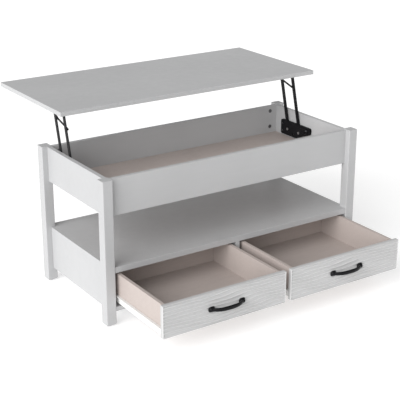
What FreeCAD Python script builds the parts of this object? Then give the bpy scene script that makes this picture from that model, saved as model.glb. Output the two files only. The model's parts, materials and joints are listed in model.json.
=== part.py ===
import FreeCAD, Part
import math
import os
import re
import Sketcher

# Lift top coffee table, in millimetres: X runs along the table, the drawers face -Y and Z is up.
# It stands as in use: the top raised and moved back on its arms, and both drawers pulled out.
# The origin is on the floor under the middle of the whole table in that state.

DIMENSIONS = {
    # leg frame
    "frame_length": 1040, "frame_depth": 468, "leg_length": 500, "leg_width": 36,
    "leg_round": 2.5, "leg_foot_round": 6, "glide_height": 3, "glide_radius": 9,
    # boards
    "board": 15, "apron_height": 124, "apron_drop": 3, "tray_gap": 3,
    "shelf_level": 205, "shelf_thickness": 20, "shelf_setback": 3, "case_floor_level": 50,
    "top_overhang": 5, "top_thickness": 15, "top_round": 1,
    # cam locks in the front and back aprons
    "cam_radius": 7.5, "cam_depth": 11, "cam_inset": 30, "cam_low": 42, "cam_high": 104,
    "cam_slot": 1.5, "cam_bolt_radius": 3, "cam_bolt_thread": 10,
    # how the top moves
    "lift_height": 147.5, "lift_shift": 269, "closed_gap": 0.3,
    # lift mechanism
    "pivot_back": 114, "pivot_spacing": 68, "pivot_above_tray": 31, "pivot_drop": 8.5,
    "rivet_radius": 3.5, "rivet_head_radius": 5, "rivet_head": 1.8, "running_gap": 0.05,
    "steel": 2, "arm_thickness": 3, "arm_width": 16, "arm_side_gap": 0.75,
    "bracket_back_reach": 41, "bracket_front_reach": 67, "bracket_height": 57,
    "bracket_nose_height": 23, "bracket_flat": 92, "bracket_above_tray": 6, "bracket_round": 7.5,
    "upper_reach": 12, "upper_flange": 24, "screw_radius": 2, "screw_head_radius": 4, "screw_bite": 10,
    "base_screw_inset": 9, "base_screw_off": 14,
    "stay_pin_up": 193, "stay_rest_up": 165, "stay_pin_radius": 3, "stay_width": 7, "stay_eye": 6.3,
    "stay_length": 90, "stop_up": 25, "stop_radius": 4, "clearance": 0.3,
    "spring_radius": 9, "spring_wire": 1.6, "spring_gap": 0.15, "spring_turns": 5, "spring_tail": 26,
    "spring_post_radius": 6, "spring_back": 24, "spring_down": 16,
    # drawers
    "drawer_travel": 287, "front_setback": 2, "front_thickness": 16, "front_height": 110,
    "front_gap_side": 3.75, "front_gap_top": 3, "box_side": 12, "box_height": 102, "box_depth": 385,
    "box_drop": 4, "box_floor": 5, "box_floor_lip": 3, "box_groove": 5,
    # roller runners
    "runner_space": 13, "runner_steel": 1.2, "runner_length": 350, "runner_height": 25,
    "runner_lip": 10, "track_width": 9, "track_drop": 3, "track_height": 24, "roller_radius": 8.7,
    "roller_width": 7, "roller_side_gap": 1, "roller_room": 5, "roller_axle_radius": 2.5, "roller_end": 10,
    "roller_stop": 38,
    # handles
    "handle_length": 140, "handle_foot": 24, "handle_foot_height": 19, "handle_foot_thickness": 3,
    "handle_foot_lap": 2, "handle_reach": 26, "handle_bar_height": 14, "handle_bar_thickness": 8,
    "handle_bend": 16, "handle_bend_round": 6.3,
}

doc = FreeCAD.newDocument("LiftTopCoffeeTable")
sheet = doc.addObject("Spreadsheet::Sheet", "Dims")
for row, (alias, value) in enumerate(DIMENSIONS.items(), start=1):
    sheet.set(f"A{row}", alias)
    sheet.set(f"B{row}", str(value))
    sheet.setAlias(f"B{row}", alias)
doc.recompute()

# Places that several pieces share, as expressions of the sheet's values.
LEG_TOP = "(glide_height + leg_length)"
INNER_X = "(frame_length / 2 - leg_width)"
INNER_Y = "(frame_depth / 2 - leg_width)"
SIDE_FACE = f"({INNER_X} + board)"
END_FACE = f"({INNER_Y} + board)"
APRON_BOTTOM = f"({LEG_TOP} - apron_drop - apron_height)"
TRAY_TOP = f"({APRON_BOTTOM} + tray_gap + board)"
SHELF_EDGE = "(frame_depth / 2 - shelf_setback)"
SHELF_BOTTOM = "(shelf_level - shelf_thickness)"
CASE_FLOOR = "(case_floor_level + board)"

PIVOT_Z = f"({TRAY_TOP} + pivot_above_tray)"
ARM_RISE = f"({LEG_TOP} + closed_gap + lift_height - pivot_drop - {PIVOT_Z})"
ARM_RISE_CLOSED = f"({LEG_TOP} + closed_gap - pivot_drop - {PIVOT_Z})"
ARM_RUN = f"((lift_shift ^ 2 + {ARM_RISE_CLOSED} ^ 2 - {ARM_RISE} ^ 2) / (2 * lift_shift))"
ARM_LENGTH = f"sqrt({ARM_RISE} ^ 2 + {ARM_RUN} ^ 2)"
ARM_COS = f"({ARM_RUN} / {ARM_LENGTH})"
ARM_SIN = f"({ARM_RISE} / {ARM_LENGTH})"
ARM_ANGLE = f"atan2({ARM_RISE}; {ARM_RUN})"
TOP_UNDERSIDE = f"({LEG_TOP} + closed_gap + lift_height)"
FRONT_PIVOT_Y = "(pivot_back - pivot_spacing)"

SLOT = "(arm_thickness + 2 * arm_side_gap)"
CHANNEL = f"(2 * steel + {SLOT})"
ARM_LAYER = "(steel + arm_side_gap)"
INNER_LAYER = f"(steel + {SLOT})"

DRAWER_X = f"(({INNER_X} + board / 2) / 2)"
OPENING_HALF = f"(({INNER_X} - board / 2) / 2)"
BOX_HALF = f"({OPENING_HALF} - runner_space)"
FRONT_FACE = "(frame_depth / 2 - front_setback + drawer_travel)"
FRONT_BACK = f"({FRONT_FACE} - front_thickness)"
FRONT_TOP = f"({SHELF_BOTTOM} - front_gap_top)"
BOX_TOP = f"({FRONT_TOP} - box_drop)"
BOX_BOTTOM = f"({BOX_TOP} - box_height)"
RUNNER_FRONT = "(frame_depth / 2 - front_setback - front_thickness - clearance)"
TRACK_BOTTOM = f"({BOX_BOTTOM} - track_drop)"
REAR_ROLLER_Z = f"({TRACK_BOTTOM} + runner_steel + roller_radius + clearance)"
FRONT_ROLLER_Z = f"({BOX_BOTTOM} + runner_height - runner_steel - roller_radius - clearance)"
FRONT_ROLLER_Y = f"({RUNNER_FRONT} - roller_end)"
FRAME_CENTRE_Y = f"({FRONT_FACE} + handle_reach - lift_shift - frame_depth / 2 - top_overhang) / 2"
HANDLE_Z = f"({FRONT_TOP} - front_height / 2)"
HANDLE_HOLE = "(handle_length / 2 - handle_foot / 2)"

parts = []


def dims(text):
    """An expression with each of the sheet's aliases written as Dims.alias."""
    def with_sheet(word):
        return f"Dims.{word[0]}" if word[0] in DIMENSIONS else word[0]

    return re.sub(r"[a-z]+(?:_[a-z]+)*", with_sheet, text)


def bind(thing, name, text):
    thing.setExpression(name, dims(text))


def place(thing, x="0", y="0", z="0"):
    """Puts a piece at its place, given about the middle of the leg frame."""
    bind(thing, "Placement.Base.x", x)
    bind(thing, "Placement.Base.y", f"{y} + {FRAME_CENTRE_Y}")
    bind(thing, "Placement.Base.z", z)
    return thing


def keep(thing, label):
    """Marks an object as a finished sub-part with its own file."""
    thing.Label = label
    parts.append(thing)
    return thing


def block(name, size, corner):
    """A plain rectangular solid from its size and its lowest corner."""
    box = doc.addObject("Part::Box", name)
    for side, text in zip(("Length", "Width", "Height"), size):
        bind(box, side, text)
    return place(box, *corner)


def rod(name, radius, length, start, axis):
    """A cylinder that starts at a point and runs along the X, Y or Z direction."""
    cylinder = doc.addObject("Part::Cylinder", name)
    bind(cylinder, "Radius", radius)
    bind(cylinder, "Height", length)
    cylinder.Placement.Rotation = FreeCAD.Rotation(FreeCAD.Vector(0, 0, 1), FreeCAD.Vector(*axis))
    return place(cylinder, *start)


def joined(name, pieces):
    """One solid made of several."""
    fuse = doc.addObject("Part::MultiFuse", name)
    fuse.Shapes = pieces
    return fuse


def group(name, pieces):
    """Several separate solids that share a node."""
    compound = doc.addObject("Part::Compound", name)
    compound.Links = pieces
    return compound


def cut(name, base, tools):
    """A solid with one or more tools taken out of it."""
    result = doc.addObject("Part::Cut", name)
    result.Base = base
    result.Tool = tools[0] if len(tools) == 1 else group(f"{name}_tools", tools)
    return result


def new_body(name):
    return doc.addObject("PartDesign::Body", name)


def sketch_on(body, name, role):
    """An empty sketch on one of the body's own origin planes."""
    sketch = body.newObject("Sketcher::SketchObject", name)
    support = next(item for item in body.Origin.OriginFeatures if item.Role == role)
    sketch.AttachmentSupport = [(support, "")]
    sketch.MapMode = "FlatFace"
    return sketch


def fix_point(sketch, element, point, x, y):
    """Ties a point of the sketch to a pair of expressions."""
    for kind, text in (("DistanceX", x), ("DistanceY", y)):
        index = sketch.addConstraint(Sketcher.Constraint(kind, -1, 1, element, point, 1.0))
        bind(sketch, f"Constraints[{index}]", text)


def outline(sketch, corners):
    """A closed polygon whose corners are pairs of expressions."""
    count = len(corners)
    ring = [FreeCAD.Vector(math.cos(2 * math.pi * n / count), math.sin(2 * math.pi * n / count), 0)
            for n in range(count)]
    first = sketch.GeometryCount
    for n in range(count):
        sketch.addGeometry(Part.LineSegment(ring[n], ring[(n + 1) % count]), False)
    for n in range(count):
        following = first + (n + 1) % count
        sketch.addConstraint(Sketcher.Constraint("Coincident", first + n, 2, following, 1))
    for n, (x, y) in enumerate(corners):
        fix_point(sketch, first + n, 1, x, y)


def circle(sketch, x, y, radius):
    """A full circle from its centre and radius."""
    index = sketch.addGeometry(Part.Circle(FreeCAD.Vector(0, 0, 0), FreeCAD.Vector(0, 0, 1), 1), False)
    fix_point(sketch, index, 3, x, y)
    constraint = sketch.addConstraint(Sketcher.Constraint("Radius", index, 1.0))
    bind(sketch, f"Constraints[{constraint}]", radius)


def pad(body, sketch, length, reverse=False):
    feature = body.newObject("PartDesign::Pad", f"{sketch.Name}_pad")
    feature.Profile = sketch
    feature.Reversed = reverse
    bind(feature, "Length", length)
    return feature


def through_pocket(body, sketch):
    """A pocket that runs right through the body, both ways from its sketch."""
    feature = body.newObject("PartDesign::Pocket", f"{sketch.Name}_pocket")
    feature.Profile = sketch
    feature.Type = "ThroughAll"
    feature.Midplane = True
    return feature


def blind_pocket(body, sketch, depth, reverse=False):
    """A pocket of a given depth from its sketch."""
    feature = body.newObject("PartDesign::Pocket", f"{sketch.Name}_pocket")
    feature.Profile = sketch
    feature.Reversed = reverse
    bind(feature, "Length", depth)
    return feature


def edges_along(shape, direction):
    """Names of the straight edges that run along a direction."""
    names = []
    for number, edge in enumerate(shape.Edges, start=1):
        if len(edge.Vertexes) == 2 and isinstance(edge.Curve, Part.Line):
            span = edge.Vertexes[1].Point - edge.Vertexes[0].Point
            if abs(abs(span.normalize() * direction) - 1) < 1e-6:
                names.append(f"Edge{number}")
    return names


def round_edges(body, feature, names, radius):
    fillet = body.newObject("PartDesign::Fillet", f"{feature.Name}_round")
    fillet.Base = (feature, names)
    bind(fillet, "Radius", radius)
    return fillet


# ---------------------------------------------------------------- legs and boards

def leg(label, side, end):
    """A square leg with rounded corners and a rounded foot."""
    body = new_body(label)
    section = sketch_on(body, f"{label}_section", "XY_Plane")
    outline(section, [("0", "0"), ("leg_width", "0"), ("leg_width", "leg_width"), ("0", "leg_width")])
    post = pad(body, section, "leg_length")
    doc.recompute()
    uprights = round_edges(body, post, edges_along(post.Shape, FreeCAD.Vector(0, 0, 1)), "leg_round")
    doc.recompute()
    foot = [f"Edge{n}" for n, edge in enumerate(uprights.Shape.Edges, start=1) if edge.BoundBox.ZMax < 1e-6]
    round_edges(body, uprights, foot, "leg_foot_round")
    x = "frame_length / 2 - leg_width" if side > 0 else "-frame_length / 2"
    y = "frame_depth / 2 - leg_width" if end > 0 else "-frame_depth / 2"
    keep(place(body, x, y, "glide_height"), label)


def glides():
    """Round nylon glides nailed under the four legs."""
    discs = []
    for x_sign in (-1, 1):
        for y_sign in (-1, 1):
            x = f"{x_sign} * (frame_length - leg_width) / 2"
            y = f"{y_sign} * (frame_depth - leg_width) / 2"
            discs.append(rod("glide", "glide_radius", "glide_height", (x, y, "0"), (0, 0, 1)))
    keep(group("glides", discs), "leg_glides")


def apron_long(label, end):
    """A front or back apron between the legs, with blind holes for its four cam locks."""
    y = INNER_Y if end > 0 else f"-{END_FACE}"
    size = (f"2 * {INNER_X}", "board", "apron_height")
    blank = block(f"{label}_blank", size, (f"-{INNER_X}", y, APRON_BOTTOM))
    holes = []
    for x_sign in (-1, 1):
        for height in ("cam_low", "cam_high"):
            mouth = cam_start(x_sign, end, height)
            holes.append(rod(f"{label}_hole", "cam_radius", "cam_depth", mouth, (0, end, 0)))
            holes.append(rod(f"{label}_bolt_hole", "cam_bolt_radius + clearance", "cam_inset",
                             bolt_start(x_sign, end, height), (x_sign, 0, 0)))
    keep(cut(label, blank, holes), label)


def cam_start(x_sign, end, height):
    """Where a cam lock's hole opens on an apron's inner face."""
    return (f"{x_sign} * ({INNER_X} - cam_inset)", f"{end} * {INNER_Y}", f"{APRON_BOTTOM} + {height}")


def bolt_start(x_sign, end, height):
    """The tip of a cam bolt, at the middle of its cam lock."""
    x, y, z = cam_start(x_sign, end, height)
    return (x, f"{y} + {end} * cam_depth / 2", z)


def cam_bolts():
    """Bolts screwed into the legs; each runs inside a long apron to its cam lock."""
    bolts = []
    for end in (-1, 1):
        for x_sign in (-1, 1):
            for height in ("cam_low", "cam_high"):
                x, y, z = bolt_start(x_sign, end, height)
                tip = f"{x} + {x_sign} * (cam_radius + clearance)"
                length = "cam_inset - cam_radius - clearance + cam_bolt_thread"
                bolts.append(rod("cam_bolt", "cam_bolt_radius", length, (tip, y, z), (x_sign, 0, 0)))
    keep(group("bolts", bolts), "cam_bolts")


def cam_locks():
    """Slotted zinc discs that pull the long aprons onto the legs."""
    cams = []
    for end in (-1, 1):
        for x_sign in (-1, 1):
            for height in ("cam_low", "cam_high"):
                x, y, z = cam_start(x_sign, end, height)
                disc = rod("cam", "cam_radius - running_gap", "cam_depth - clearance", (x, y, z), (0, end, 0))
                slot_y = y if end > 0 else f"{y} - cam_slot"
                slot = block("cam_slot", ("cam_radius", "cam_slot", "cam_slot"),
                             (f"{x} - cam_radius / 2", slot_y, f"{z} - cam_slot / 2"))
                cams.append(cut("cam_cut", disc, [slot]))
    keep(group("cams", cams), "cam_locks")


def apron_short(label, side):
    """A left or right apron between the legs, with blind holes for the lower bracket's screws."""
    x = INNER_X if side > 0 else f"-{SIDE_FACE}"
    size = ("board", f"2 * {INNER_Y}", "apron_height")
    blank = block(f"{label}_blank", size, (x, f"-{INNER_Y}", APRON_BOTTOM))
    holes = []
    for y, z in base_screw_places():
        holes.append(rod(f"{label}_hole", "screw_radius + running_gap", "screw_bite + clearance",
                         (inward(side, "0"), y, z), (side, 0, 0)))
    keep(cut(label, blank, holes), label)


def tray_bottom():
    """The floor of the storage space, inside the four aprons."""
    size = (f"2 * {INNER_X}", f"2 * {INNER_Y}", "board")
    corner = (f"-{INNER_X}", f"-{INNER_Y}", f"{APRON_BOTTOM} + tray_gap")
    keep(block("tray_bottom", size, corner), "tray_bottom")


def lower_case():
    """Shelf, side panels, back, divider and floor of the drawer case."""
    inner_height = f"{SHELF_BOTTOM} - {CASE_FLOOR}"
    full = (f"2 * {INNER_X}", f"2 * {SHELF_EDGE}")
    front_left = (f"-{INNER_X}", f"-{SHELF_EDGE}")
    keep(block("shelf", (*full, "shelf_thickness"), (*front_left, SHELF_BOTTOM)), "shelf")
    keep(block("case_floor", (*full, "board"), (*front_left, "case_floor_level")), "case_floor")
    panel_size = ("board", f"2 * {INNER_Y}", "shelf_level - case_floor_level")
    for label, x in (("side_panel_left", f"-{SIDE_FACE}"), ("side_panel_right", INNER_X)):
        keep(block(label, panel_size, (x, f"-{INNER_Y}", "case_floor_level")), label)
    back_corner = (f"-{INNER_X}", f"{SHELF_EDGE} - board", CASE_FLOOR)
    keep(block("case_back", (f"2 * {INNER_X}", "board", inner_height), back_corner), "case_back")
    divider_size = ("board", f"2 * {SHELF_EDGE} - board", inner_height)
    keep(block("case_divider", divider_size, ("-board / 2", f"-{SHELF_EDGE}", CASE_FLOOR)), "case_divider")


def tabletop():
    """The lifting top, one board with softened edges and screw holes, shown raised."""
    body = new_body("tabletop")
    half_x = "(frame_length / 2 + top_overhang)"
    half_y = "(frame_depth / 2 + top_overhang)"
    plan = sketch_on(body, "tabletop_plan", "XY_Plane")
    outline(plan, [(f"-{half_x}", f"-{half_y}"), (half_x, f"-{half_y}"), (half_x, half_y),
                   (f"-{half_x}", half_y)])
    board = pad(body, plan, "top_thickness")
    doc.recompute()
    names = [f"Edge{n}" for n in range(1, len(board.Shape.Edges) + 1)]
    round_edges(body, board, names, "top_round")
    holes = sketch_on(body, "tabletop_screw_holes", "XY_Plane")
    for x, y in upper_screw_places():
        circle(holes, x, f"{y} - lift_shift", "screw_radius + running_gap")
    blind_pocket(body, holes, "screw_bite + clearance", reverse=True)
    keep(place(body, "0", "lift_shift", TOP_UNDERSIDE), "tabletop")


# ---------------------------------------------------------------- lift mechanism

def layer_x(side, layer, thickness):
    """Lowest X of a plate that lies a given way in from the apron on either side."""
    if side > 0:
        return f"({INNER_X} - ({layer}) - ({thickness}))"
    return f"(-{INNER_X} + ({layer}))"


def inward(side, layer):
    """X of a point that lies a given way in from the apron."""
    return f"({side} * ({INNER_X} - ({layer})))"


def base_bracket(label, side):
    """A pressed steel channel on the side apron; the arms turn between its two walls."""
    body = new_body(label)
    back = "(pivot_back + bracket_back_reach)"
    front = f"({FRONT_PIVOT_Y} - bracket_front_reach)"
    low = f"({TRAY_TOP} + bracket_above_tray)"
    high = f"({low} + bracket_height)"
    face = sketch_on(body, f"{label}_outline", "YZ_Plane")
    outline(face, [(back, low), (back, high), (front, high), (front, f"{high} - bracket_nose_height"),
                   (f"{back} - bracket_flat", low)])
    blank = pad(body, face, CHANNEL)
    doc.recompute()
    corners = edges_along(blank.Shape, FreeCAD.Vector(1, 0, 0))
    round_edges(body, blank, corners, "bracket_round")
    slot = sketch_on(body, f"{label}_slot", "XZ_Plane")
    outline(slot, [("steel", f"{low} + steel"), (f"steel + {SLOT}", f"{low} + steel"),
                   (f"steel + {SLOT}", f"{high} + steel"), ("steel", f"{high} + steel")])
    through_pocket(body, slot)
    holes = sketch_on(body, f"{label}_holes", "YZ_Plane")
    for y in ("pivot_back", FRONT_PIVOT_Y):
        circle(holes, y, PIVOT_Z, "rivet_radius + running_gap")
    for y, z in base_screw_places():
        circle(holes, y, z, "screw_radius + running_gap")
    through_pocket(body, holes)
    access = sketch_on(body, f"{label}_screw_access", "YZ_Plane")
    for y, z in base_screw_places():
        circle(access, y, z, "screw_head_radius + clearance")
    post = sketch_on(body, f"{label}_spring_post", "YZ_Plane")
    circle(post, *spring_centre(), "spring_post_radius")
    if side < 0:
        bind(access, "AttachmentOffset.Base.z", CHANNEL)
        bind(post, "AttachmentOffset.Base.z", CHANNEL)
    blind_pocket(body, access, ARM_LAYER, reverse=side > 0)
    pad(body, post, "(spring_turns + 1) * (spring_wire + spring_gap)", reverse=side > 0)
    keep(place(body, layer_x(side, "0", CHANNEL)), label)


def base_screw_places():
    """Where the lower bracket is screwed to the apron, in Y and Z, clear of the arms."""
    back = "(pivot_back + bracket_back_reach - base_screw_inset)"
    low = f"({PIVOT_Z} - base_screw_off)"
    high = f"({PIVOT_Z} + base_screw_off)"
    return [(back, low), (back, high), (f"({FRONT_PIVOT_Y} + pivot_spacing / 2)", low)]


def stop_centre():
    """Centre of the stop behind the raised rear arm, in Y and Z."""
    off = "(arm_width / 2 + stop_radius + clearance)"
    return (f"(pivot_back + stop_up * {ARM_COS} + {off} * {ARM_SIN})",
            f"({PIVOT_Z} + stop_up * {ARM_SIN} - {off} * {ARM_COS})")


def base_pins(label, side):
    """Two shouldered rivets for the arms, and the arm stop."""
    start = inward(side, "0")
    way = (-side, 0, 0)
    pins = []
    for y in ("pivot_back", FRONT_PIVOT_Y):
        shank = rod("rivet", "rivet_radius", f"{CHANNEL} + rivet_head", (start, y, PIVOT_Z), way)
        head = rod("rivet_head", "rivet_head_radius", "rivet_head", (inward(side, CHANNEL), y, PIVOT_Z), way)
        pins.append(joined("rivet_whole", [shank, head]))
    stop_y, stop_z = stop_centre()
    pins.append(rod("arm_stop", "stop_radius", SLOT, (inward(side, "steel"), stop_y, stop_z), way))
    keep(group(f"{label}_set", pins), label)


def spring_centre():
    """Centre of the coil spring at the bracket's nose, in Y and Z."""
    top = f"({TRAY_TOP} + bracket_above_tray + bracket_height)"
    return (f"({FRONT_PIVOT_Y} - bracket_front_reach + spring_back)", f"({top} - spring_down)")


def spring(label, side):
    """A coil spring on the post, as one ring per turn and a straight tail at each end of the coil."""
    spring_y, spring_z = spring_centre()
    rings = []
    for turn in range(round(sheet.get("spring_turns"))):
        ring = doc.addObject("Part::Torus", f"{label}_turn")
        bind(ring, "Radius1", "spring_radius")
        bind(ring, "Radius2", "spring_wire / 2")
        ring.Placement.Rotation = FreeCAD.Rotation(FreeCAD.Vector(0, 1, 0), 90)
        layer = f"{CHANNEL} + spring_gap + spring_wire / 2 + {turn} * (spring_wire + spring_gap)"
        rings.append(place(ring, inward(side, layer), spring_y, spring_z))
    last = f"{CHANNEL} + spring_gap + spring_wire / 2 + (spring_turns - 1) * (spring_wire + spring_gap)"
    tails = [rod(f"{label}_tail", "0.45 * spring_wire", "spring_tail",
                 (inward(side, layer), spring_y, f"{spring_z} + {up} * spring_radius"), (0, 1, 0))
             for layer, up in ((f"{CHANNEL} + spring_gap + spring_wire / 2", -1), (last, 1))]
    whole = [joined(f"{label}_start", [rings[0], tails[0]]), *rings[1:-1],
             joined(f"{label}_end", [rings[-1], tails[1]])]
    keep(group(f"{label}_coil", whole), label)


def arm(label, side, pivot_y, stud_up):
    """A flat steel arm with a hole at each pivot and a stud for the stay."""
    body = new_body(label)
    flat = sketch_on(body, f"{label}_outline", "YZ_Plane")
    half = "arm_width / 2"
    ends = (f"-({half})", f"({ARM_LENGTH} + {half})")
    outline(flat, [(ends[0], f"-({half})"), (ends[1], f"-({half})"), (ends[1], half), (ends[0], half)])
    bar = pad(body, flat, "arm_thickness")
    doc.recompute()
    corners = edges_along(bar.Shape, FreeCAD.Vector(1, 0, 0))
    round_edges(body, bar, corners, f"{half} - running_gap")
    holes = sketch_on(body, f"{label}_holes", "YZ_Plane")
    circle(holes, "0", "0", "rivet_radius + running_gap")
    circle(holes, ARM_LENGTH, "0", "rivet_radius + running_gap")
    through_pocket(body, holes)
    stud = sketch_on(body, f"{label}_stud", "YZ_Plane")
    circle(stud, stud_up, "0", "stay_pin_radius")
    stud_length = "arm_thickness + arm_side_gap + steel + rivet_head / 2"
    if side > 0:
        stud_length = "arm_side_gap + steel + rivet_head / 2"
    pad(body, stud, stud_length, reverse=side > 0)
    body.Placement.Rotation = FreeCAD.Rotation(FreeCAD.Vector(1, 0, 0), 45)
    bind(body, "Placement.Rotation.Angle", ARM_ANGLE)
    keep(place(body, layer_x(side, ARM_LAYER, "arm_thickness"), pivot_y, PIVOT_Z), label)


def stay(label, side):
    """A light stay that hangs on the rear arm and lies on the front arm's stud."""
    body = new_body(label)
    half = "stay_width / 2"
    flat = sketch_on(body, f"{label}_outline", "YZ_Plane")
    outline(flat, [("-stay_eye", "-stay_eye"), ("stay_eye", "-stay_eye"), ("2 * stay_eye", f"-({half})"),
                   ("stay_length", f"-({half})"), ("stay_length", half), ("2 * stay_eye", half),
                   ("stay_eye", "stay_eye"), ("-stay_eye", "stay_eye")])
    blade = pad(body, flat, "steel")
    doc.recompute()
    corners = edges_along(blade.Shape, FreeCAD.Vector(1, 0, 0))
    round_edges(body, blade, corners, f"{half} - clearance")
    hole = sketch_on(body, f"{label}_hole", "YZ_Plane")
    circle(hole, "0", "0", "stay_pin_radius + running_gap")
    through_pocket(body, hole)
    body.Placement.Rotation = FreeCAD.Rotation(FreeCAD.Vector(1, 0, 0), 45)
    bind(body, "Placement.Rotation.Angle", stay_angle())
    y = f"pivot_back + stay_pin_up * {ARM_COS}"
    z = f"{PIVOT_Z} + stay_pin_up * {ARM_SIN}"
    keep(place(body, layer_x(side, INNER_LAYER, "steel"), y, z), label)


def stay_angle():
    """Slope of the resting stay: its lower edge lies just above the front arm's stud."""
    run = f"(pivot_spacing + (stay_pin_up - stay_rest_up) * {ARM_COS})"
    drop = f"((stay_pin_up - stay_rest_up) * {ARM_SIN})"
    lift = "(stay_width / 2 + stay_pin_radius + clearance)"
    return f"180 deg + atan2({drop}; {run}) - asin({lift} / sqrt({run} ^ 2 + {drop} ^ 2))"


def upper_bracket(label, side):
    """An angle under the top: the web takes the arms' upper rivets, the flange is screwed on."""
    body = new_body(label)
    web_drop = "(pivot_drop + rivet_head_radius + clearance)"
    flange = "(steel + upper_flange)"
    section = sketch_on(body, f"{label}_section", "XZ_Plane")
    sign = -side
    outline(section, [("0", "0"), (f"{sign} * {flange}", "0"), (f"{sign} * {flange}", "-steel"),
                      (f"{sign} * steel", "-steel"), (f"{sign} * steel", f"-{web_drop}"),
                      ("0", f"-{web_drop}")])
    pad(body, section, "pivot_spacing + 2 * upper_reach", reverse=True)
    holes = sketch_on(body, f"{label}_rivet_holes", "YZ_Plane")
    for y in ("upper_reach", "upper_reach + pivot_spacing"):
        circle(holes, y, "-pivot_drop", "rivet_radius + running_gap")
    through_pocket(body, holes)
    screws = sketch_on(body, f"{label}_screw_holes", "XY_Plane")
    for y in ("upper_reach", "upper_reach + pivot_spacing"):
        circle(screws, f"{sign} * (steel + upper_flange / 2)", y, "screw_radius + running_gap")
    through_pocket(body, screws)
    y = f"{FRONT_PIVOT_Y} + {ARM_RUN} - upper_reach"
    keep(place(body, inward(side, INNER_LAYER), y, TOP_UNDERSIDE), label)


def upper_pins(label, side):
    """Rivets that hold the arms to the upper bracket, with a head at each end."""
    way = (-side, 0, 0)
    z = f"{PIVOT_Z} + {ARM_RISE}"
    pins = []
    for pivot_y in ("pivot_back", FRONT_PIVOT_Y):
        y = f"{pivot_y} + {ARM_RUN}"
        outer = f"{ARM_LAYER} - running_gap - rivet_head"
        length = f"{CHANNEL} + rivet_head - ({outer})"
        shank = rod("upper_rivet", "rivet_radius", length, (inward(side, outer), y, z), way)
        heads = [rod("upper_head", "rivet_head_radius", "rivet_head", (inward(side, layer), y, z), way)
                 for layer in (outer, CHANNEL)]
        pins.append(joined("upper_rivet_whole", [shank, *heads]))
    keep(group(f"{label}_set", pins), label)


def upper_screw_places():
    """Where the upper brackets are screwed to the top, in X and Y."""
    places = []
    for side in (-1, 1):
        for pivot_y in ("pivot_back", FRONT_PIVOT_Y):
            x = inward(side, f"{INNER_LAYER} + steel + upper_flange / 2")
            places.append((x, f"{pivot_y} + {ARM_RUN}"))
    return places


def screw(name, length, seat, way):
    """A pan head screw: its head stands on the seat and its shank runs on the way given."""
    back = tuple(-part for part in way)
    head = rod(f"{name}_head", "screw_head_radius", "rivet_head", seat, back)
    shank = rod(f"{name}_shank", "screw_radius", length, seat, way)
    return joined(name, [head, shank])


def upper_screws():
    """Screws through the upper brackets' flanges into the top."""
    screws = []
    for x, y in upper_screw_places():
        seat = (x, y, f"{TOP_UNDERSIDE} - steel")
        screws.append(screw("upper_screw", "steel + screw_bite", seat, (0, 0, 1)))
    keep(group("upper_screw_set", screws), "upper_bracket_screws")


def base_screws():
    """Screws through the lower brackets' outer walls into the side aprons."""
    screws = []
    for side in (-1, 1):
        for y, z in base_screw_places():
            seat = (inward(side, "steel"), y, z)
            screws.append(screw("base_screw", "steel + screw_bite", seat, (side, 0, 0)))
    keep(group("base_screw_set", screws), "base_bracket_screws")


# ---------------------------------------------------------------- drawers

def drawer_box(name, side):
    """Front, sides, back and floor of one drawer, pulled out."""
    centre = f"({side} * {DRAWER_X})"
    front_half = f"({OPENING_HALF} - front_gap_side)"
    blank = block(f"{name}_front_blank", (f"2 * {front_half}", "front_thickness", "front_height"),
                  (f"{centre} - {front_half}", f"-{FRONT_FACE}", f"{FRONT_TOP} - front_height"))
    holes = []
    for way in (-1, 1):
        hole_start = (f"{centre} + {way} * {HANDLE_HOLE}", f"-{FRONT_FACE}", HANDLE_Z)
        holes.append(rod(f"{name}_screw_hole", "screw_radius + running_gap", "front_thickness",
                         hole_start, (0, 1, 0)))
    keep(cut(f"{name}_front", blank, holes), f"{name}_front")

    floor_z = f"({BOX_BOTTOM} + box_floor_lip)"
    inner = f"({BOX_HALF} - box_side)"
    groove_size = ("box_groove", "box_depth", "box_floor")
    for label, way in ((f"{name}_side_left", -1), (f"{name}_side_right", 1)):
        x = f"{centre} - {BOX_HALF}" if way < 0 else f"{centre} + {inner}"
        size = ("box_side", "box_depth", "box_height")
        board = block(f"{label}_blank", size, (x, f"-{FRONT_BACK}", BOX_BOTTOM))
        groove_x = f"{centre} - {inner} - box_groove" if way < 0 else f"{centre} + {inner}"
        groove = block(f"{label}_groove", groove_size, (groove_x, f"-{FRONT_BACK}", floor_z))
        keep(cut(label, board, [groove]), label)
    back_y = f"-{FRONT_BACK} + box_depth - box_side"
    back = block(f"{name}_back", (f"2 * {inner}", "box_side", "box_height - box_floor_lip - box_floor"),
                 (f"{centre} - {inner}", back_y, f"{floor_z} + box_floor"))
    keep(back, f"{name}_back")
    floor = block(f"{name}_floor", (f"2 * ({inner} + box_groove - clearance)", "box_depth", "box_floor"),
                  (f"{centre} - {inner} - box_groove + clearance", f"-{FRONT_BACK}", floor_z))
    keep(floor, f"{name}_floor")


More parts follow.
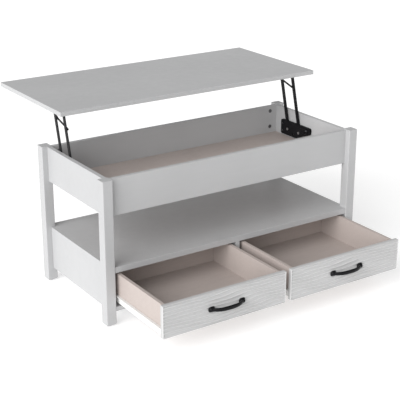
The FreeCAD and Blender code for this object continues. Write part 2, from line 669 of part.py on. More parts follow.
def handle(label, side):
    """A bow pull: a flat bar bent out between two flat feet."""
    body = new_body(label)
    half = "(handle_length / 2)"
    foot_in = f"({half} - handle_foot)"
    bar = "handle_bar_thickness"
    out = "-handle_reach"
    plan = sketch_on(body, f"{label}_plan", "XY_Plane")
    outline(plan, [
        (f"-{foot_in} - {bar}", "0"), (f"-{foot_in} - {bar} + handle_bend / 2", out),
        (f"{foot_in} + {bar} - handle_bend / 2", out), (f"{foot_in} + {bar}", "0"),
        (foot_in, "0"), (f"{foot_in} - handle_bend / 2", f"{out} + {bar}"),
        (f"-{foot_in} + handle_bend / 2", f"{out} + {bar}"), (f"-{foot_in}", "0")])
    bow = pad(body, plan, "handle_bar_height")
    bow.Midplane = True
    doc.recompute()
    bends = []
    for number, edge in enumerate(bow.Shape.Edges, start=1):
        upright = edge.BoundBox.ZLength > edge.BoundBox.XLength + edge.BoundBox.YLength
        if upright and edge.BoundBox.YMax < -1e-3:
            bends.append(f"Edge{number}")
    round_edges(body, bow, bends, "handle_bend_round")
    for way, where in ((-1, "left"), (1, "right")):
        foot = sketch_on(body, f"{label}_foot_{where}", "XZ_Plane")
        near = f"{way} * ({foot_in} - handle_foot_lap)"
        far = f"{way} * {half}"
        outline(foot, [(near, "-handle_bar_height / 2"), (far, "-handle_foot_height / 2"),
                       (far, "handle_foot_height / 2"), (near, "handle_bar_height / 2")])
        pad(body, foot, "handle_foot_thickness")
    keep(place(body, f"{side} * {DRAWER_X}", f"-{FRONT_FACE}", HANDLE_Z), label)


def handle_screws(label, side):
    """Machine screws from inside the drawer front up to the handle's feet."""
    screws = []
    for way in (-1, 1):
        x = f"{side} * {DRAWER_X} + {way} * {HANDLE_HOLE}"
        screws.append(screw("handle_screw", "front_thickness", (x, f"-{FRONT_BACK}", HANDLE_Z), (0, -1, 0)))
    keep(group(f"{label}_set", screws), label)


def drawer_runner(name, side, way):
    """The drawer's half of a roller runner: an angle under the side with a track flange above."""
    body = new_body(name)
    edge = f"({side} * {DRAWER_X} + {way} * {BOX_HALF})"
    web = f"{edge} + {way} * runner_steel"
    lip = f"{edge} - {way} * runner_lip"
    flange = f"{edge} + {way} * track_width"
    high = f"({BOX_BOTTOM} + runner_height)"
    under = f"({BOX_BOTTOM} - runner_steel)"
    section = sketch_on(body, f"{name}_section", "XZ_Plane")
    outline(section, [(lip, under), (web, under), (web, f"{high} - runner_steel"),
                      (flange, f"{high} - runner_steel"), (flange, high), (edge, high),
                      (edge, BOX_BOTTOM), (lip, BOX_BOTTOM)])
    pad(body, section, "runner_length - front_setback", reverse=True)
    place(body, "0", f"-{FRONT_BACK}")
    axle_start = (f"{edge} + {way} * runner_steel / 2", rear_roller_y(), REAR_ROLLER_Z)
    axle = rod(f"{name}_axle", "roller_axle_radius", "track_width", axle_start, (way, 0, 0))
    return joined(f"{name}_whole", [body, axle])


def rear_roller_y():
    """Axle of the rollers at the back end of the drawer's runners."""
    return f"(-{FRONT_ROLLER_Y} + roller_stop)"


def case_runner(name, side, way):
    """The case's half of a roller runner: a channel, open above its front roller's axle."""
    body = new_body(name)
    wall = f"({side} * {DRAWER_X} + {way} * {OPENING_HALF})"
    low = TRACK_BOTTOM
    high = f"({TRACK_BOTTOM} + track_height)"
    tip = f"({wall} - {way} * track_width)"
    skin = f"({wall} - {way} * runner_steel)"
    section = sketch_on(body, f"{name}_section", "XZ_Plane")
    outline(section, [(wall, low), (wall, high), (tip, high), (tip, f"{high} - runner_steel"),
                      (skin, f"{high} - runner_steel"), (skin, f"{low} + runner_steel"),
                      (tip, f"{low} + runner_steel"), (tip, low)])
    pad(body, section, "runner_length", reverse=True)
    place(body, "0", f"-{RUNNER_FRONT}")
    window_size = ("track_width", "roller_end + roller_radius + roller_room", "runner_steel + 2 * clearance")
    window_x = skin if way < 0 else f"{skin} - track_width"
    window = block(f"{name}_window", window_size,
                   (window_x, f"-{RUNNER_FRONT}", f"{high} - runner_steel - clearance"))
    open_body = cut(f"{name}_open", body, [window])
    axle_start = (f"{wall} - {way} * runner_steel / 2", f"-{FRONT_ROLLER_Y}", FRONT_ROLLER_Z)
    axle = rod(f"{name}_axle", "roller_axle_radius", "track_width", axle_start, (-way, 0, 0))
    return joined(f"{name}_whole", [open_body, axle])


def roller(name, start, way):
    """A nylon roller with a bore that runs on its axle."""
    tyre = rod(f"{name}_tyre", "roller_radius", "roller_width", start, (way, 0, 0))
    bore = rod(f"{name}_bore", "roller_axle_radius + running_gap", "roller_width", start, (way, 0, 0))
    return cut(f"{name}_whole", tyre, [bore])


def runners(name, side):
    """Both runners of one drawer and their rollers."""
    drawer_halves = []
    case_halves = []
    rear = []
    front = []
    for hand, way in (("left", -1), ("right", 1)):
        drawer_halves.append(drawer_runner(f"{name}_runner_{hand}", side, way))
        case_halves.append(case_runner(f"{name}_track_{hand}", side, way))
        box_x = f"{side} * {DRAWER_X} + {way} * ({BOX_HALF} + runner_steel + roller_side_gap)"
        wall_x = f"{side} * {DRAWER_X} + {way} * ({OPENING_HALF} - runner_steel - roller_side_gap)"
        rear.append(roller(f"{name}_rear_{hand}", (box_x, rear_roller_y(), REAR_ROLLER_Z), way))
        front.append(roller(f"{name}_front_{hand}", (wall_x, f"-{FRONT_ROLLER_Y}", FRONT_ROLLER_Z), -way))
    keep(group(f"{name}_runner_pair", drawer_halves), f"{name}_runners")
    keep(group(f"{name}_track_pair", case_halves), f"{name}_case_runners")
    keep(group(f"{name}_rear_pair", rear), f"{name}_rear_rollers")
    keep(group(f"{name}_front_pair", front), f"{name}_front_rollers")


def build():
    """Makes every sub-part of the table."""
    for end, row in ((-1, "front"), (1, "back")):
        for side, hand in ((-1, "left"), (1, "right")):
            leg(f"leg_{row}_{hand}", side, end)
        apron_long(f"apron_{row}", end)
    glides()
    cam_locks()
    cam_bolts()
    for side, hand in ((-1, "left"), (1, "right")):
        apron_short(f"apron_{hand}", side)
    tray_bottom()
    lower_case()
    tabletop()
    for side, hand in ((-1, "left"), (1, "right")):
        base_bracket(f"lift_base_bracket_{hand}", side)
        base_pins(f"lift_base_pins_{hand}", side)
        spring(f"lift_spring_{hand}", side)
        arm(f"lift_arm_rear_{hand}", side, "pivot_back", "stay_pin_up")
        arm(f"lift_arm_front_{hand}", side, FRONT_PIVOT_Y, "stay_rest_up")
        stay(f"lift_stay_{hand}", side)
        upper_bracket(f"lift_upper_bracket_{hand}", side)
        upper_pins(f"lift_upper_pins_{hand}", side)
    base_screws()
    upper_screws()
    for side, hand in ((-1, "left"), (1, "right")):
        name = f"drawer_{hand}"
        drawer_box(name, side)
        handle(f"{name}_handle", side)
        handle_screws(f"{name}_handle_screws", side)
        runners(name, side)


def export():
    """Checks every object, then writes each sub-part to its own STEP file."""
    doc.recompute()
    for item in doc.Objects:
        if "Invalid" in item.State or "Error" in item.State:
            raise RuntimeError(f"{item.Label}: {item.getStatusString()}")
    for item in parts:
        if item.Shape.isNull() or not item.Shape.isValid() or not item.Shape.Solids:
            raise RuntimeError(f"{item.Label} has no valid solid")
    os.makedirs("parts", exist_ok=True)
    for item in parts:
        item.Shape.exportStep(f"parts/{item.Label}.step")
        print(f"{item.Label}: {len(item.Shape.Solids)} solids, {item.Shape.Volume / 1000:.2f} cm3")


build()
export()
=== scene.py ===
import json
import math
import bpy
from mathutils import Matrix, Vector


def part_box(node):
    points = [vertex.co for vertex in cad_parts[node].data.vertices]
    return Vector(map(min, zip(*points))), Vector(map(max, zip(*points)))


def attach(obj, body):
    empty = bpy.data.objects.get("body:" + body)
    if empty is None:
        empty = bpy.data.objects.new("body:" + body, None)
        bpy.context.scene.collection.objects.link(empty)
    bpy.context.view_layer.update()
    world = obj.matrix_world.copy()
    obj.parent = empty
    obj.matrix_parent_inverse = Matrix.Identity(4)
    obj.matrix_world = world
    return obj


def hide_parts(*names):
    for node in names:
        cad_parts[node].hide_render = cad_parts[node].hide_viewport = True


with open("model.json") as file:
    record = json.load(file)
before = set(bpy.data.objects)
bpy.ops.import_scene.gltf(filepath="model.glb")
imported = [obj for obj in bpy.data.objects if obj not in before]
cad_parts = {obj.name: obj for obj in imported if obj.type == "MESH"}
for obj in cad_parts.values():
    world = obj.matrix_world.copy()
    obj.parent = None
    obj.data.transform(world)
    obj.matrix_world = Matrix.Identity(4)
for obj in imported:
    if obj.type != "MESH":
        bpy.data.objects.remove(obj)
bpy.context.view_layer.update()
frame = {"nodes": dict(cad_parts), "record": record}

MM = 0.001


# ---------------------------------------------------------------- materials

class Shader:
    """A material's node tree with a principled shader, in the object's own coordinates."""

    def __init__(self, name, color, roughness, metallic=0.0):
        self.material = bpy.data.materials.new(name)
        self.material.use_nodes = True
        self.tree = self.material.node_tree
        self.shader = self.tree.nodes["Principled BSDF"]
        self.shader.inputs["Base Color"].default_value = (*color, 1)
        self.shader.inputs["Roughness"].default_value = roughness
        self.shader.inputs["Metallic"].default_value = metallic
        self.color = color
        self.coords = self.node("ShaderNodeTexCoord").outputs["Object"]

    def node(self, kind, **settings):
        node = self.tree.nodes.new(kind)
        for key, value in settings.items():
            setattr(node, key, value)
        return node

    def link(self, source, target):
        self.tree.links.new(source, target)

    def stretched(self, scale):
        """Coordinates scaled per axis, for a grain that runs along one of them."""
        mapping = self.node("ShaderNodeMapping")
        mapping.inputs["Scale"].default_value = scale
        self.link(self.coords, mapping.inputs["Vector"])
        return mapping.outputs["Vector"]

    def noise(self, scale, detail, rough=0.5, coords=None):
        node = self.node("ShaderNodeTexNoise")
        node.inputs["Scale"].default_value = scale
        node.inputs["Detail"].default_value = detail
        node.inputs["Roughness"].default_value = rough
        self.link(coords or self.coords, node.inputs["Vector"])
        return node.outputs["Fac"]

    def span(self, value, low, high, start=0.3, end=0.7):
        """A value between start and end, taken to the range from low to high."""
        node = self.node("ShaderNodeMapRange")
        node.inputs["From Min"].default_value = start
        node.inputs["From Max"].default_value = end
        node.inputs["To Min"].default_value = low
        node.inputs["To Max"].default_value = high
        self.link(value, node.inputs["Value"])
        return node.outputs["Result"]

    def product(self, first, second):
        node = self.node("ShaderNodeMath", operation="MULTIPLY")
        self.link(first, node.inputs[0])
        self.link(second, node.inputs[1])
        return node.outputs["Value"]

    def tint(self, factor):
        """The base colour, darkened or lightened by a factor."""
        node = self.node("ShaderNodeVectorMath", operation="SCALE")
        node.inputs[0].default_value = self.color
        self.link(factor, node.inputs["Scale"])
        self.link(node.outputs["Vector"], self.shader.inputs["Base Color"])

    def roughness(self, value):
        self.link(value, self.shader.inputs["Roughness"])

    def bump(self, height, distance, strength):
        node = self.node("ShaderNodeBump")
        node.inputs["Strength"].default_value = strength
        node.inputs["Distance"].default_value = distance
        self.link(height, node.inputs["Height"])
        self.link(node.outputs["Normal"], self.shader.inputs["Normal"])

    def edges(self, radius):
        """1 on flat ground, less where the surface turns over an edge."""
        bevel = self.node("ShaderNodeBevel", samples=4)
        bevel.inputs["Radius"].default_value = radius
        geometry = self.node("ShaderNodeNewGeometry")
        dot = self.node("ShaderNodeVectorMath", operation="DOT_PRODUCT")
        self.link(bevel.outputs["Normal"], dot.inputs[0])
        self.link(geometry.outputs["Normal"], dot.inputs[1])
        return dot.outputs["Value"]


def lacquer(name, color, painted_crest_light=False):
    """Satin lacquer on fibreboard: faint clouding, orange peel and a painted highlight along the edges;
    if asked, also painted highlights on the carved crests and painted shade in their hollows.
    """
    m = Shader(name, color, roughness=0.42)
    clouds = m.span(m.noise(scale=5.0, detail=4.0), low=0.975, high=1.025)
    lengthwise = m.stretched((14, 90, 90))
    fibres = m.span(m.noise(scale=1.0, detail=5.0, rough=0.6, coords=lengthwise), low=0.988, high=1.012)
    # Painted highlight: the edges are lightened, as if they caught the light.
    painted_light = m.span(m.edges(radius=1.2 * MM), low=1.07, high=1.0, start=0.75, end=1.0)
    if painted_crest_light:
        # Painted light and shade: the carving's crests are lightened and its hollows darkened, as light
        # would fall on them.
        pointiness = m.node("ShaderNodeNewGeometry").outputs["Pointiness"]
        crest_light_and_hollow_shade = m.span(pointiness, low=0.90, high=1.16, start=0.46, end=0.54)
        painted_light = m.product(painted_light, crest_light_and_hollow_shade)
    # The base colour: clouding and fibres are the board's own tone, times the painted light and shade on
    # edges and crests.
    m.tint(m.product(m.product(clouds, fibres), painted_light))
    m.roughness(m.span(m.noise(scale=40.0, detail=3.0), low=0.36, high=0.5))
    m.bump(m.noise(scale=520.0, detail=2.0), distance=0.03 * MM, strength=0.5)
    m.shader.inputs["Coat Weight"].default_value = 0.12
    m.shader.inputs["Coat Roughness"].default_value = 0.3
    return m.material


def melamine(name, color):
    """Matt printed board: a fine grain along the board and slightly darker edges."""
    m = Shader(name, color, roughness=0.55)
    lengthwise = m.stretched((9, 160, 160))
    grain = m.span(m.noise(scale=1.0, detail=6.0, rough=0.65, coords=lengthwise), low=0.965, high=1.03)
    clouds = m.span(m.noise(scale=7.0, detail=3.0), low=0.97, high=1.03)
    edge = m.span(m.edges(radius=1.0 * MM), low=0.9, high=1.0, start=0.75, end=1.0)
    m.tint(m.product(m.product(grain, clouds), edge))
    m.roughness(m.span(m.noise(scale=60.0, detail=3.0), low=0.48, high=0.62))
    m.bump(m.noise(scale=900.0, detail=2.0), distance=0.02 * MM, strength=0.5)
    return m.material


def powder_coat(name, color, low, high, wear, shine=0.5):
    """Baked powder: faint mottling, fine pimples, roughness from low to high and worn edges.

    Wear is the edges' brightness beside the rest: bare metal on black, grime on white."""
    m = Shader(name, color, roughness=(low + high) / 2)
    m.shader.inputs["Specular IOR Level"].default_value = shine
    mottling = m.span(m.noise(scale=90.0, detail=4.0), low=0.96, high=1.04)
    m.tint(m.product(mottling, m.span(m.edges(radius=0.6 * MM), low=wear, high=1.0, start=0.7, end=1.0)))
    m.roughness(m.span(m.noise(scale=150.0, detail=3.0), low, high))
    m.bump(m.noise(scale=1500.0, detail=2.0, rough=0.6), distance=0.05 * MM, strength=0.6)
    return m.material


def plated(name, color, low, high):
    """Plated or blackened metal: faint stains, and streaks of roughness from low to high."""
    m = Shader(name, color, roughness=(low + high) / 2, metallic=1.0)
    m.tint(m.span(m.noise(scale=140.0, detail=5.0), low=0.86, high=1.08))
    streaks = m.noise(scale=1.0, detail=4.0, rough=0.6, coords=m.stretched((900, 120, 120)))
    m.roughness(m.span(streaks, low, high))
    m.bump(m.noise(scale=1800.0, detail=2.0), distance=0.01 * MM, strength=0.5)
    return m.material


def nylon(name, color):
    """Moulded nylon: a soft, slightly translucent plastic with a faint flow pattern."""
    m = Shader(name, color, roughness=0.45)
    m.tint(m.span(m.noise(scale=60.0, detail=4.0), low=0.95, high=1.04))
    m.roughness(m.span(m.noise(scale=200.0, detail=3.0), low=0.38, high=0.52))
    m.bump(m.noise(scale=900.0, detail=2.0), distance=0.02 * MM, strength=0.5)
    m.shader.inputs["Subsurface Weight"].default_value = 0.08
    m.shader.inputs["Subsurface Scale"].default_value = 1.5 * MM
    return m.material


# One finish for each slot in the record, and for the cam locks a zinc darkened with painted shade,
# standing for the shade in their holes.
MATERIALS = {
    "grey_paint": lacquer("grey_lacquer", (0.43, 0.432, 0.437)),
    # The carved fronts get painted highlights on their crests and painted shade in their hollows.
    "wave_front": lacquer("wave_lacquer", (0.49, 0.49, 0.49), painted_crest_light=True),
    "beige_board": melamine("beige_melamine", (0.43, 0.375, 0.35)),
    "black_steel": powder_coat("black_powder_coat", (0.006, 0.006, 0.007),
                               low=0.42, high=0.58, wear=1.9, shine=0.16),
    "handle_black": powder_coat("handle_coat", (0.004, 0.004, 0.005),
                                low=0.3, high=0.44, wear=1.8, shine=0.16),
    "white_steel": powder_coat("white_powder_coat", (0.72, 0.72, 0.71), low=0.35, high=0.5, wear=0.93),
    "rivet_steel": plated("rivet_zinc", (0.58, 0.58, 0.59), low=0.25, high=0.42),
    "zinc": plated("screw_zinc", (0.55, 0.56, 0.57), low=0.25, high=0.42),
    # Painted shade: this zinc is darkened so that the cam locks look like shaded holes.
    "zinc_painted_hole_shade": plated("cam_zinc_painted_hole_shade", (0.21, 0.21, 0.215), low=0.4, high=0.6),
    "spring_steel": plated("spring_black", (0.06, 0.06, 0.065), low=0.3, high=0.45),
    "white_nylon": nylon("white_nylon", (0.70, 0.70, 0.67)),
    "dark_nylon": nylon("dark_nylon", (0.06, 0.06, 0.06)),
}


def dress(obj, slot):
    obj.data.materials.clear()
    obj.data.materials.append(MATERIALS[slot])


# ---------------------------------------------------------------- mesh helpers

def new_piece(name, vertices, faces):
    """A smooth object in the scene, from points and faces."""
    mesh = bpy.data.meshes.new(name)
    mesh.from_pydata([tuple(v) for v in vertices], [], faces)
    mesh.validate()
    mesh.polygons.foreach_set("use_smooth", [True] * len(mesh.polygons))
    obj = bpy.data.objects.new(name, mesh)
    bpy.context.scene.collection.objects.link(obj)
    return obj


def finish_piece(obj, body, slot, *nodes):
    """Gives a new piece its finish and its body, and lets it stand for CAD nodes."""
    dress(obj, slot)
    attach(obj, body)
    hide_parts(*nodes)


def merged(shapes):
    """Several shapes, each of points and faces, as one."""
    vertices, faces = [], []
    for points, polygons in shapes:
        base = len(vertices)
        vertices += points
        faces += [tuple(base + v for v in polygon) for polygon in polygons]
    return vertices, faces


def ring_faces(rings, count, closed_ends=True):
    """Quads between rings of points that follow each other, and a face over each end if asked."""
    faces = []
    for r in range(rings - 1):
        for n in range(count):
            after = (n + 1) % count
            faces.append((r * count + n, r * count + after, (r + 1) * count + after, (r + 1) * count + n))
    if closed_ends:
        faces.append(tuple(reversed(range(count))))
        faces.append(tuple(range((rings - 1) * count, rings * count)))
    return faces


def round_angles(count):
    """Even angles, once round."""
    return [2 * math.pi * n / count for n in range(count)]


def directions_across(axis):
    """Two directions square to an axis and to each other."""
    side = axis.orthogonal().normalized()
    return side, axis.cross(side)


def superellipse(angle, half_a, half_b, power):
    """A point of an ellipse that is squared off as the power rises."""
    c, s = math.cos(angle), math.sin(angle)
    x = math.copysign(abs(c) ** (2 / power), c) * half_a
    y = math.copysign(abs(s) ** (2 / power), s) * half_b
    return x, y


def smoothstep(x):
    """0 below 0, 1 above 1, and an eased rise between."""
    x = min(max(x, 0.0), 1.0)
    return x * x * (3 - 2 * x)


WELD_GAP = 0.01 * MM
SHARP_EDGE = math.radians(40)


def soften_edges(node, width, segments=2):
    """Rounds a CAD piece's sharp edges a little, as sanding and lacquer do."""
    obj = frame["nodes"][node]
    weld = obj.modifiers.new("weld", "WELD")
    weld.merge_threshold = WELD_GAP
    bevel = obj.modifiers.new("bevel", "BEVEL")
    bevel.width = width
    bevel.segments = segments
    bevel.limit_method = "ANGLE"
    bevel.angle_limit = SHARP_EDGE
    bevel.harden_normals = True


# ---------------------------------------------------------------- drawer fronts

WAVE_PITCH = 12.4 * MM
WAVE_DEPTH = 3.6 * MM
HOLLOW_POWER = 1.1
FORK_SHARE = 0.3
EDGE_ROUND = 1.4 * MM
# Where grid lines cross the rounded edge, as shares of its width.
EDGE_STEPS = (0.0, 0.12, 0.35, 0.65)
GRID_X = 3 * MM
GRID_Z = 0.75 * MM
SPLIT_ANGLE = math.radians(50)


def wave_shift(x, z):
    """How far the carved lines wander up or down, in parts of a pitch.

    The sines' lengths are in metres, and their unequal sizes keep the pattern from repeating."""
    slow = math.sin(x / 0.071 + 1.1 * math.sin(z / 0.024))
    drift = math.sin(x / 0.029 + z / 0.013 + 1.6 * math.sin(x / 0.13))
    slow_share, drift_share = 0.22, 0.14
    return slow_share * slow + drift_share * drift


def wave_depth(x, z):
    """Depth of the carving under the crests: rounded hollows between ridges, some of which fork."""
    phase = z / WAVE_PITCH + wave_shift(x, z)
    hollow = abs(math.sin(math.pi * phase)) ** HOLLOW_POWER
    fork = abs(math.sin(2 * math.pi * phase)) ** HOLLOW_POWER
    fork_length, offset_per_wave = 0.037, 2.1
    split = 0.5 + 0.5 * math.sin(x / fork_length + offset_per_wave * math.floor(phase))
    return WAVE_DEPTH * (hollow * (1 - FORK_SHARE * split) + FORK_SHARE * split * fork)


def eased(distance):
    """How far the surface falls back at a given distance from the board's edge."""
    if distance >= EDGE_ROUND:
        return 0.0
    return EDGE_ROUND - math.sqrt(EDGE_ROUND ** 2 - (EDGE_ROUND - distance) ** 2)


def steps(low, high, step):
    """Even steps between two values, with closer ones where the edge is rounded."""
    near = [EDGE_ROUND * share for share in EDGE_STEPS]
    flat = high - low - 2 * EDGE_ROUND
    count = max(1, round(flat / step))
    inner = [low + EDGE_ROUND + flat * n / count for n in range(count + 1)]
    return [low + d for d in near] + inner + [high - d for d in reversed(near)]


def wave_front(side):
    """A drawer front with wandering horizontal ridges carved in its face, and a plain back."""
    node = f"drawer_{side}_front"
    low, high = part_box(node)
    xs = steps(low.x, high.x, GRID_X)
    zs = steps(low.z, high.z, GRID_Z)
    vertices = []
    for z in zs:
        for x in xs:
            edge = min(x - low.x, high.x - x, z - low.z, high.z - z)
            depth = wave_depth(x, z) * smoothstep(edge / (2 * EDGE_ROUND))
            vertices.append((x, low.y + depth + eased(max(edge, 0.0)), z))
    wide, tall = len(xs), len(zs)
    faces = [(r * wide + c, r * wide + c + 1, (r + 1) * wide + c + 1, (r + 1) * wide + c)
             for r in range(tall - 1) for c in range(wide - 1)]
    border = list(range(wide))
    border += [r * wide + wide - 1 for r in range(1, tall)]
    border += [(tall - 1) * wide + c for c in range(wide - 2, -1, -1)]
    border += [r * wide for r in range(tall - 2, 0, -1)]
    back = len(vertices)
    vertices += [(vertices[v][0], high.y, vertices[v][2]) for v in border]
    count = len(border)
    for n in range(count):
        after = (n + 1) % count
        faces.append((border[after], border[n], back + n, back + after))
    faces.append(tuple(range(back, back + count)))
    front = new_piece(f"wave_front_{side}", vertices, faces)
    front.data.polygons[-1].use_smooth = False
    split = front.modifiers.new("edges", "EDGE_SPLIT")
    split.split_angle = SPLIT_ANGLE
    finish_piece(front, f"drawer_{side}", "wave_front", node)


# ---------------------------------------------------------------- handles

FOOT_HALF_LENGTH = 12 * MM
FOOT_RISE = 9 * MM
# From the drawer front outwards: share of the rise, share of the foot's length and height.
FOOT_PROFILE = ((0.0, 1.0), (0.12, 1.0), (0.24, 0.93), (0.42, 0.80), (0.7, 0.66), (1.0, 0.56))
FOOT_SQUARENESS = 3.2
GRIP_HALF_HEIGHT = 7 * MM
GRIP_THICKNESS = 8 * MM
GRIP_START = 4 * MM
GRIP_SQUARENESS = 2.6


def handle_foot(centre, half_height):
    """A flared foot that draws in to the grip's neck."""
    count = 40
    points = []
    for along, share in FOOT_PROFILE:
        for angle in round_angles(count):
            dx, dz = superellipse(angle, FOOT_HALF_LENGTH * share, half_height * share, FOOT_SQUARENESS)
            points.append(centre + Vector((dx, -FOOT_RISE * along, dz)))
    return points, ring_faces(len(FOOT_PROFILE), count)


def handle_grip(centre, half_span, reach):
    """The bowed grip: it leaves each neck steeply, then runs in a shallow arc, widest in the middle."""
    rings = 61
    count = 28
    ways = [2 * r / (rings - 1) - 1 for r in range(rings)]
    bow_depth = reach - GRIP_THICKNESS / 2 - GRIP_START
    steepness, steep_share, arc_share = 3.4, 0.8, 0.2
    line = []
    for t in ways:
        bow = (1 - abs(t) ** steepness) * steep_share + arc_share * (1 - t * t)
        line.append(Vector((half_span * t, -GRIP_START - bow_depth * bow, 0)))
    points = []
    for r, t in enumerate(ways):
        along = (line[min(r + 1, rings - 1)] - line[max(r - 1, 0)]).normalized()
        out = Vector((along.y, -along.x, 0))
        swell = 1 - t * t
        half_height = GRIP_HALF_HEIGHT * (0.75 + 0.25 * swell)
        half_thickness = GRIP_THICKNESS / 2 * (0.85 + 0.15 * swell)
        for angle in round_angles(count):
            da, dz = superellipse(angle, half_thickness, half_height, GRIP_SQUARENESS)
            points.append(centre + line[r] + out * da + Vector((0, 0, dz)))
    return points, ring_faces(rings, count)


def handle(side):
    """A handle in the CAD handle's box: a grip on two feet."""
    node = f"drawer_{side}_handle"
    low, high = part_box(node)
    centre = Vector(((low.x + high.x) / 2, high.y, (low.z + high.z) / 2))
    half_span = (high.x - low.x) / 2 - FOOT_HALF_LENGTH
    half_height = (high.z - low.z) / 2
    shapes = [handle_foot(centre + Vector((way * half_span, 0, 0)), half_height) for way in (-1, 1)]
    shapes.append(handle_grip(centre, half_span, high.y - low.y))
    bow = new_piece(f"bow_handle_{side}", *merged(shapes))
    finish_piece(bow, f"drawer_{side}", "handle_black", node)


# ---------------------------------------------------------------- screws

HEAD_HEIGHT = 1.8 * MM
THREAD_PITCH = 1.4 * MM
# Points that agree to this many decimals of a metre count as one.
POINT_DIGITS = 5


def screw_head(centre, axis, radius):
    """A domed head with a cross recess, on a polar grid. Lengths inside it are shares of its radius."""
    turns, rings = 64, 16
    rim, dome_rise, dome_power = 0.45, 0.55, 2.6
    slot_half_width, slot_wall = 0.16, 0.08
    cross_reach, cross_wall = 0.62, 0.12
    recess = 0.8 * HEAD_HEIGHT
    side, other = directions_across(axis)
    angles = round_angles(turns)
    points = [centre + (side * math.cos(a) + other * math.sin(a)) * radius for a in angles]
    for r in range(rings, 0, -1):
        share = r / rings
        dome = HEAD_HEIGHT * (rim + dome_rise * math.sqrt(max(0.0, 1 - share ** dome_power)))
        for a in angles:
            x, y = share * math.cos(a), share * math.sin(a)
            in_slot = smoothstep((slot_half_width - min(abs(x), abs(y))) / slot_wall)
            in_cross = smoothstep((cross_reach - max(abs(x), abs(y))) / cross_wall)
            depth = recess * in_slot * in_cross
            points.append(centre + (side * x + other * y) * radius + axis * (dome - depth))
    faces = ring_faces(rings + 1, turns, closed_ends=False)
    faces.append(tuple(reversed(range(turns))))
    faces.append(tuple(range(rings * turns, (rings + 1) * turns)))
    return points, faces


def screw_shank(start, end, radius):
    """A shank from one point to another, with a thread's ridge wound around it."""
    turns = 24
    core, thread = 0.82, 0.18
    axis = (end - start).normalized()
    side, other = directions_across(axis)
    length = (end - start).length
    rings = max(8, round(4 * length / THREAD_PITCH))
    points = []
    for r in range(rings + 1):
        along = length * r / rings
        for a in round_angles(turns):
            ridge = 0.5 + 0.5 * math.cos(2 * math.pi * along / THREAD_PITCH - a)
            reach = radius * (core + thread * ridge)
            points.append(start + axis * along + (side * math.cos(a) + other * math.sin(a)) * reach)
    return points, ring_faces(rings + 1, turns)


def islands(node):
    """Low and high corners of a CAD node's separate solids, found by joining faces that share points."""
    mesh = frame["nodes"][node].data
    parent = {}

    def root(key):
        while parent[key] != key:
            parent[key] = parent[parent[key]]
            key = parent[key]
        return key

    def key_of(index):
        return tuple(round(c, POINT_DIGITS) for c in mesh.vertices[index].co)

    for polygon in mesh.polygons:
        keys = [key_of(v) for v in polygon.vertices]
        for key in keys:
            parent.setdefault(key, key)
        for key in keys[1:]:
            parent[root(key)] = root(keys[0])
    groups = {}
    for key in parent:
        groups.setdefault(root(key), []).append(Vector(key))
    found = []
    for points in groups.values():
        low = Vector([min(p[i] for p in points) for i in range(3)])
        high = Vector([max(p[i] for p in points) for i in range(3)])
        found.append((low, high))
    return sorted(found, key=lambda pair: tuple(pair[0]))


def screws(node, body, name):
    """Screws with recessed heads. Each head faces the middle of the table, the back or the floor."""
    shapes = []
    for low, high in islands(node):
        size = high - low
        middle = (low + high) / 2
        long = max(range(3), key=lambda i: size[i])
        away = Vector((0, 0, 0))
        away[long] = (-math.copysign(1.0, middle.x), 1.0, -1.0)[long]
        radius = min(size) / 2
        seat = middle + away * (size[long] / 2 - HEAD_HEIGHT)
        tip = middle - away * size[long] / 2
        shapes.append(screw_head(seat, away, radius))
        shapes.append(screw_shank(seat, tip, radius / 2))
    finish_piece(new_piece(name, *merged(shapes)), body, "zinc", node)


# ---------------------------------------------------------------- springs

WIRE_RADIUS = 0.8 * MM
COIL_TURNS = 4.5
COIL_STEPS = 160
TAIL_STEPS = 12


def spring_path(side, low, high):
    """The middle line of a spring in its box: a tail from the back, the coil, and a tail to the back."""
    radius = (high.z - low.z) / 2 - WIRE_RADIUS
    centre_y, centre_z = low.y + WIRE_RADIUS + radius, (low.z + high.z) / 2
    ends = (low.x + WIRE_RADIUS, high.x - WIRE_RADIUS)
    start, end = reversed(ends) if side == "right" else ends
    tail = high.y - centre_y
    path = [Vector((start, high.y - tail * n / TAIL_STEPS, centre_z - radius)) for n in range(TAIL_STEPS)]
    for n in range(COIL_STEPS + 1):
        a = -math.pi / 2 - 2 * math.pi * COIL_TURNS * n / COIL_STEPS
        x = start + (end - start) * n / COIL_STEPS
        path.append(Vector((x, centre_y + radius * math.cos(a), centre_z + radius * math.sin(a))))
    for n in range(1, TAIL_STEPS + 1):
        path.append(Vector((end, centre_y + tail * n / TAIL_STEPS, centre_z + radius)))
    return path


def spring(side):
    """The coil spring as one wire."""
    node = f"lift_spring_{side}"
    path = spring_path(side, *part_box(node))
    count = 12
    points = []
    for n, centre in enumerate(path):
        along = (path[min(n + 1, len(path) - 1)] - path[max(n - 1, 0)]).normalized()
        across = (Vector((1, 0, 0)) - along * along.x).normalized()
        other = along.cross(across)
        for a in round_angles(count):
            points.append(centre + (across * math.cos(a) + other * math.sin(a)) * WIRE_RADIUS)
    wire = new_piece(f"coil_spring_{side}", points, ring_faces(len(path), count))
    finish_piece(wire, "frame", "spring_steel", node)


# ---------------------------------------------------------------- scene

BOARDS = ("apron_", "tray_", "shelf", "case_", "side_panel_")
BOARD_EDGE = 0.8 * MM
PRESSED_EDGE = 0.35 * MM
RUNNER_EDGE = 0.25 * MM


def dress_cad():
    """Finishes for the CAD pieces that stay, and eased edges on boards and pressed steel."""
    for entry in frame["record"]["subparts"]:
        node, slot = entry["node"], entry["material_slot"]
        # The cam locks get the zinc darkened with the painted shade of their holes.
        dress(frame["nodes"][node], "zinc_painted_hole_shade" if node == "cam_locks" else slot)
        if slot in ("grey_paint", "beige_board") and (node.startswith(BOARDS) or "drawer" in node):
            soften_edges(node, BOARD_EDGE)
        elif slot in ("black_steel", "rivet_steel"):
            soften_edges(node, PRESSED_EDGE)
        elif slot == "white_steel":
            soften_edges(node, RUNNER_EDGE, segments=1)


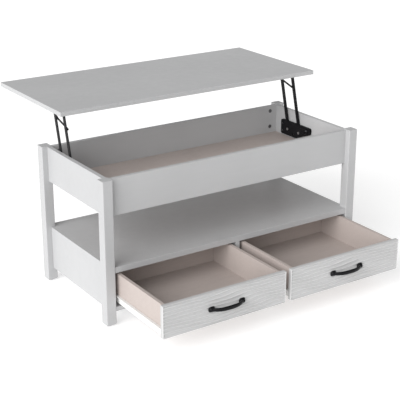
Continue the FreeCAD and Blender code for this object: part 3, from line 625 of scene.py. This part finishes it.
def floor():
    """A pale floor that glows a little, so that it stays white and still takes a soft shadow."""
    reach = 300
    corner_points = [(-reach, -reach, 0), (reach, -reach, 0), (reach, reach, 0), (-reach, reach, 0)]
    obj = new_piece("floor", corner_points, [(0, 1, 2, 3)])
    m = Shader("pale_floor", (0.66, 0.66, 0.66), roughness=0.8)
    m.tint(m.span(m.noise(scale=0.8, detail=3.0), low=0.99, high=1.01))
    m.shader.inputs["Specular IOR Level"].default_value = 0.2
    m.shader.inputs["Emission Color"].default_value = (1, 1, 1, 1)
    m.shader.inputs["Emission Strength"].default_value = 0.48
    obj.data.materials.append(m.material)


def sun(name, toward, strength, spread):
    """A soft sun that stands in the given direction. Its spread is in degrees."""
    light = bpy.data.lights.new(name, "SUN")
    light.energy = strength
    light.angle = math.radians(spread)
    obj = bpy.data.objects.new(name, light)
    obj.rotation_euler = Vector(toward).to_track_quat("Z", "Y").to_euler()
    bpy.context.scene.collection.objects.link(obj)


def studio():
    """A white world, a broad key light from the left, and the floor."""
    scene = bpy.context.scene
    world = bpy.data.worlds.new("studio")
    world.use_nodes = True
    background = world.node_tree.nodes["Background"]
    background.inputs["Color"].default_value = (1, 1, 1, 1)
    background.inputs["Strength"].default_value = 0.5
    scene.world = world
    scene.view_settings.view_transform = "Standard"
    sun("key", toward=(-1.03, -0.426, 0.477), strength=3.8, spread=60)
    floor()


def camera():
    """Stands in front and to the left, looking down on the table, as fitted to the photograph."""
    yaw, pitch = math.radians(33.46), math.radians(-20.48)
    legs_middle_y = (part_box("leg_front_left")[0].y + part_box("leg_back_left")[1].y) / 2
    data = bpy.data.cameras.new("camera")
    data.sensor_width = 36
    data.lens = 95.87
    obj = bpy.data.objects.new("camera", data)
    bpy.context.scene.collection.objects.link(obj)
    look = Vector((math.sin(yaw) * math.cos(pitch), math.cos(yaw) * math.cos(pitch), math.sin(pitch)))
    obj.location = Vector((-1.980, legs_middle_y - 2.990, 1.605))
    obj.rotation_euler = look.to_track_quat("-Z", "Y").to_euler()
    bpy.context.scene.camera = obj


camera()
studio()
dress_cad()
for side in ("left", "right"):
    wave_front(side)
    handle(side)
    screws(f"drawer_{side}_handle_screws", f"drawer_{side}", f"handle_screws_{side}")
    spring(side)
screws("base_bracket_screws", "frame", "base_screws")
screws("upper_bracket_screws", "top", "upper_screws")
